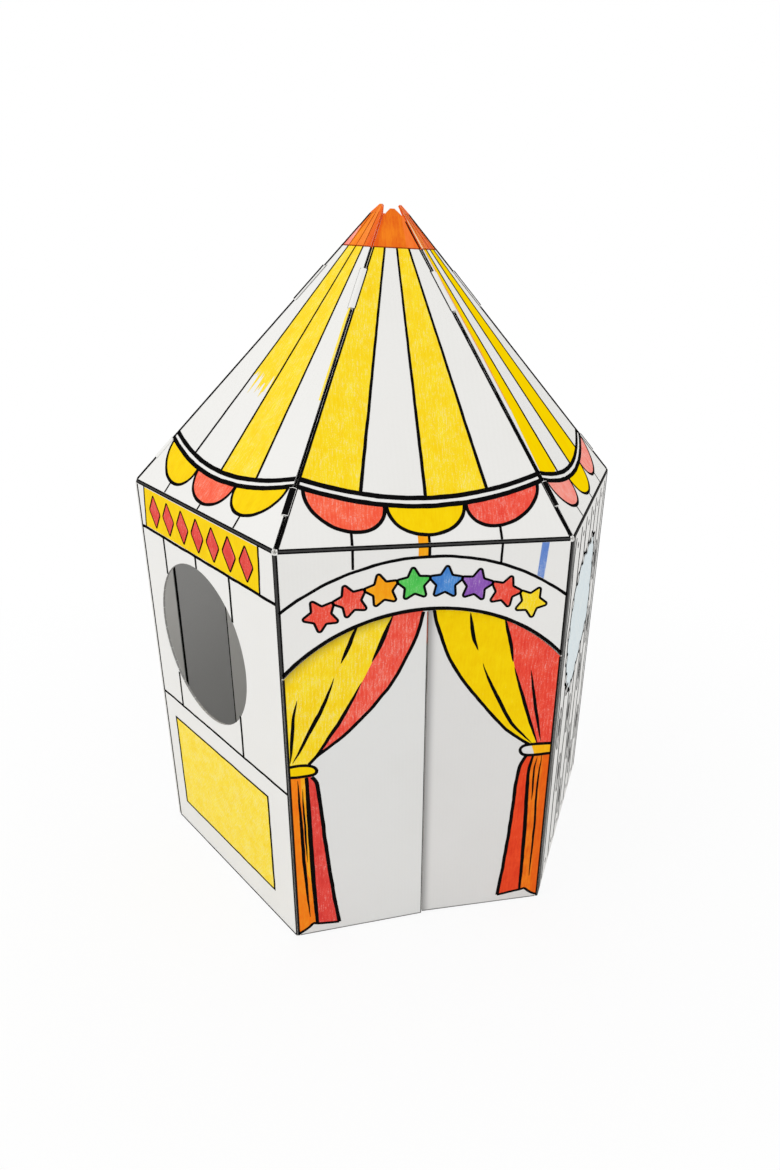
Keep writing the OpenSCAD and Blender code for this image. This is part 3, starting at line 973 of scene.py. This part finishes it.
# right wall: uncoloured boards with nails and grain, and a pale pane with round bulbs along its edge
rightWall = {
    "pane": [(-11, 690), (60, 692), (98, 676), (112, 640), (124, 580), (132, 524), (124, 480), (83, 454),
             (-46, 401), (-112, 424), (-145, 465), (-160, 500), (-172, 550), (-166, 593), (-158, 622),
             (-146, 648), (-108, 668), (-80, 684)],
    "boards": range(-203, 205, 67), "reach": (12, 772), "line": 10.0, "grainLine": 6.0, "nailRows": (34, 750),
    "knots": [(167, 600), (167, 440), (167, 176), (-170, 366), (-102, 214), (-36, 322), (-36, 104), (32, 206),
              (98, 352), (98, 120)],
    "bulbs": {"count": 17, "points": 9, "outer": 11.5, "inner": 11.5 * 0.95, "round": 4.0, "line": 5.4},
    "nails": {"count": 6, "points": 7, "outer": 5.5, "inner": 5.5 * 0.93, "round": 2.0, "line": 1.0},
}
grain = random.Random(11)
pane = smooth(rightWall["pane"] + rightWall["pane"][:1], 4)


def boardLines(x):
    # a board's edge from floor to eave, broken where the pane is
    low, high = rightWall["reach"]
    cuts = sorted(a[1] + (b[1] - a[1]) * (x - a[0]) / (b[0] - a[0])
                  for a, b in zip(pane, pane[1:]) if (a[0] - x) * (b[0] - x) < 0)
    stops = [low, *cuts, high]
    lines = []
    for start, stop in zip(stops[::2], stops[1::2]):
        path = [(x + grain.uniform(-5, 5), y) for y in spread(start, stop, 48)]
        lines.append(stroke(smooth(path, 5), rightWall["line"], taper=0.15))
    return lines


def grainRing(x, y, wide, tall):
    ring = [(x + wide * math.cos(a), y + tall * math.sin(a)) for a in spread(0, 2 * math.pi, 0.2)]
    return stroke(ring, rightWall["grainLine"], wobble=1.0)


# the grey band beside the front corner is painted shade
fields = [("paleBlue", pane), ("cornerShadeGrey", [(-239, 3), (-214, 3), (-214, 781), (-239, 781)])]
inks = [line for x in rightWall["boards"] for line in boardLines(x)]
inks.append(stroke(pane, rightWall["line"]))
for x, y in rightWall["knots"]:
    inks += [grainRing(x, y, 14, 46), grainRing(x, y + 4, 3, 20)]
inks.append(stroke([(232, 3), (232, 400), (232, 781)], 12.0, wobble=0.1))
emblems = [{"path": pane[:-3], "paint": "board", "lift": "top", **rightWall["bulbs"]}]
for y in rightWall["nailRows"]:
    emblems.append({"path": [(-170, y), (165, y)], "paint": "ink", **rightWall["nails"]})
# the front corner's fold is grey on its flat as well, painted shade
strips = eaveStrips() + cornerStrips(-1, "wall", 3, "foldInk")
panelPrint("rightWallPrint", "house", wallPlane(1), fields, inks, emblems, strips)

# rear walls: the same planks and wainscot, left uncoloured
rearWall = {
    "top": 699, "sill": 331, "reach": 238, "planks": (-120, 0, 120),
    "ends": {2: (1,), 3: (-1, 1), 4: (-1,)},  # the ends of each wall that are folds of its sheet
}
for number, (turn, ends) in enumerate(rearWall["ends"].items()):
    top, sill, reach = rearWall["top"], rearWall["sill"], rearWall["reach"]
    inks = [stroke([(-reach, top), (reach, top)], 5.0), stroke([(-reach, sill), (reach, sill)], 4.6)]
    inks += [stroke([(x, top - 1), (x, sill + 1)], 4.4, wobble=0.5) for x in rearWall["planks"]]
    strips = eaveStrips() + [strip for end in ends for strip in cornerStrips(end, "wall")]
    panelPrint(f"rearWallPrint{number}", "house", wallPlane(turn), (), inks, (), strips)

# inside of the wall that shows through the window: two grey fields of painted shade, with a dark line at the
# end of each; the line at the flap's edge is a painted shadow
inside = {"corner": -236, "flapEdge": -163.5, "score": 8, "height": (4, 781)}
corner, edge, score = inside["corner"], inside["flapEdge"], inside["score"]
low, high = inside["height"]
fields = [("insideShadeGrey", [(edge, low), (score, low), (score, high), (edge, high)]),
          ("insideLeftShade", [(corner, low), (edge, low), (edge, high), (corner, high)])]
inks = [stroke([(edge, low), (edge, high)], 7.0, wobble=0.1),
        stroke([(score, low), (score, high)], 4.0, wobble=0.1)]
panelPrint("insideScore", "house", wallPlane(4, True), fields, inks)

# camera at the photograph's place
view = {
    "azimuth": -16.382, "height": 24.242, "roll": 3.12, "distance": 1.7345, "focal": 791.464,
    "aimX": 0.2052, "aimZ": 0.5131, "centre": (482.95, 600.87), "picture": (780, 1170), "sensor": 36,
}
az, el, roll = (math.radians(view[k]) for k in ("azimuth", "height", "roll"))
back = Vector((math.sin(az) * math.cos(el), -math.cos(az) * math.cos(el), math.sin(el)))
across = Vector((math.cos(az), math.sin(az), 0))
upward = back.cross(across)
right = math.cos(roll) * across + math.sin(roll) * upward
top = -math.sin(roll) * across + math.cos(roll) * upward
wide, tall = view["picture"]
lensData = bpy.data.cameras.new("camera")
lensData.sensor_width = view["sensor"]
lensData.lens = view["focal"] / tall * view["sensor"]
lensData.shift_x = (wide / 2 - view["centre"][0]) / tall
lensData.shift_y = (view["centre"][1] - tall / 2) / tall
lensData.clip_end = 50
camera = addObject("camera", lensData)
spot = across * view["aimX"] + Vector((0, 0, view["aimZ"])) + back * view["distance"]
camera.matrix_world = Matrix.Translation(spot) @ Matrix((right, top, back)).transposed().to_4x4()
bpy.context.scene.camera = camera
print("camera:", round(lensData.lens, 2), "mm lens")

# studio: white floor and surround, one broad soft lamp from the left
studio = {
    "sky": 0.93, "lamp": 20, "lampSpot": (-3.2, -0.9, 3.2), "lampAim": (0, 0, 0.6), "lampSize": 2.0,
    "floor": 9, "floorWhite": 0.88, "shade": 0.45,
    "glow": 0.92, "glowSpot": (0.02, 0.02, 0.72), "glowSize": 0.12,
}


def shownRays(wire):
    # the rays that see the white surround: the camera's, and those mirrored or let through
    rays = wire.node("ShaderNodeLightPath").socket.node.outputs
    camera, glossy, through = [
        Wire(wire.tree, rays[f"Is {kind} Ray"]) for kind in ("Camera", "Glossy", "Transmission")]
    return wire.maths("MAXIMUM", wire.maths("MAXIMUM", camera, glossy), through)


def floorReach(wire, coords, angle):
    # how far a point of the floor lies from the middle, in one direction
    out = (math.cos(math.radians(angle)), math.sin(math.radians(angle)), 0)
    return wire.vector("DOT_PRODUCT", coords, out, out=1)


reach = studio["floor"]
corners = [(-reach, -reach, 0), (reach, -reach, 0), (reach, reach, 0), (-reach, reach, 0)]
floorMesh = bpy.data.meshes.new("floor")
floorMesh.from_pydata(corners, [], [(0, 1, 2, 3)])
floor = addObject("floor", floorMesh)
material, wire = startMaterial("paleFloor")
matt = wire.node("ShaderNodeBsdfDiffuse", None, {"Color": (0.9, 0.9, 0.9, 1)})
glow = wire.node("ShaderNodeEmission", None, {"Color": (1, 1, 1, 1), "Strength": 1.0})
coords = wire.node("ShaderNodeTexCoord", out=3)
far = wire.vector("LENGTH", coords, out=1)
white = ((far - 0.6) * 0.9).clamp() * (1 - studio["floorWhite"]) + studio["floorWhite"]  # white far away
# the floor's glow is turned down inside the house as painted shade, and brought up towards the doorway as
# painted light
lit = ((floorReach(wire, coords, -90) - 0.02) * 2.5).clamp()
for angle in (-30, 30, 90, 150, 210):
    past = ((floorReach(wire, coords, angle) - apothem / 1000) * 250).clamp()
    lit = wire.maths("MAXIMUM", lit, past)
fade = white * (lit * (1 - studio["shade"]) + studio["shade"])
blend = wire.node("ShaderNodeMixShader", None, {0: shownRays(wire) * fade, 1: matt, 2: glow})
wire.node("ShaderNodeOutputMaterial", None, {"Surface": blend})
floorMesh.materials.append(material)

world = bpy.data.worlds.new("studio")
bpy.context.scene.world = world
world.use_nodes = True
world.node_tree.nodes.clear()
wire = Wire(world.node_tree)
sky = wire.node("ShaderNodeBackground", None, {
    "Color": (1, 1, 1, 1), "Strength": shownRays(wire) * (1 - studio["sky"]) + studio["sky"]})
wire.node("ShaderNodeOutputWorld", None, {"Surface": sky})

lampData = bpy.data.lights.new("softLamp", "AREA")
lampData.energy = studio["lamp"]
lampData.size = studio["lampSize"]
lamp = addObject("softLamp", lampData)
lamp.location = studio["lampSpot"]
lamp.rotation_euler = (Vector(studio["lampAim"]) - lamp.location).to_track_quat("-Z", "Y").to_euler()

# a weak lamp inside the house, for the light that comes through the board
glowData = bpy.data.lights.new("insideLamp", "POINT")
glowData.energy = studio["glow"]
glowData.shadow_soft_size = studio["glowSize"]
glowLamp = addObject("insideLamp", glowData)
glowLamp.location = studio["glowSpot"]
print("studio: floor, sky and two lamps")

bpy.context.scene.view_settings.view_transform = "Standard"
